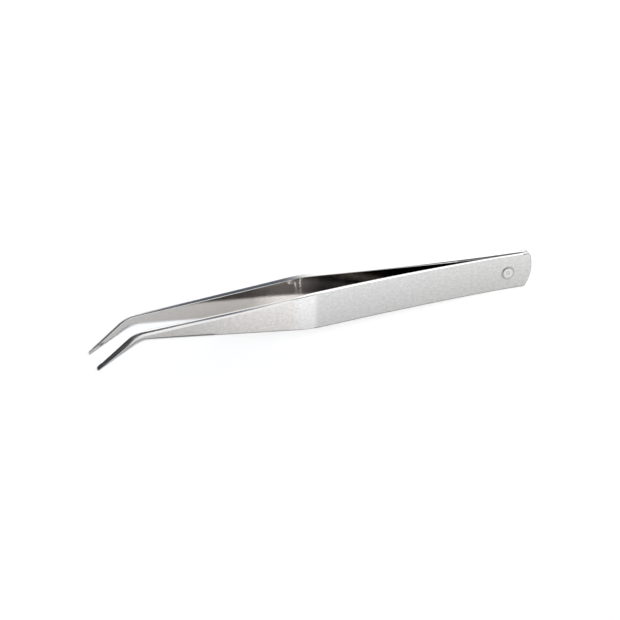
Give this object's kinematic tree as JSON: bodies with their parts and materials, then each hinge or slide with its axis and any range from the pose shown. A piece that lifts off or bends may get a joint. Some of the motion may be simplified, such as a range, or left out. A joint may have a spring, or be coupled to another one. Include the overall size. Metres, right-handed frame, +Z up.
{
  "type": "angled tweezers",
  "caption": "Spring steel tweezers with blades welded together at a rounded tail, bent out at the shoulder, tapering to fine tips that are angled downwards.",
  "frame": {"origin": "under the middle of the tweezers, on the surface they lie on", "axes": "+X along the tweezers from the tips to the welded tail, +Y from the left blade to the right blade, +Z up, across the width of the strip"},
  "size_m": [0.1254, 0.0128, 0.0117],
  "materials": {
    "blade_steel": "satin, brushed along the blades, with bright broken edges"
  },
  "bodies": {
    "root": {"left_blade": "blade_steel", "right_blade": "blade_steel"}
  },
  "joints": []
}
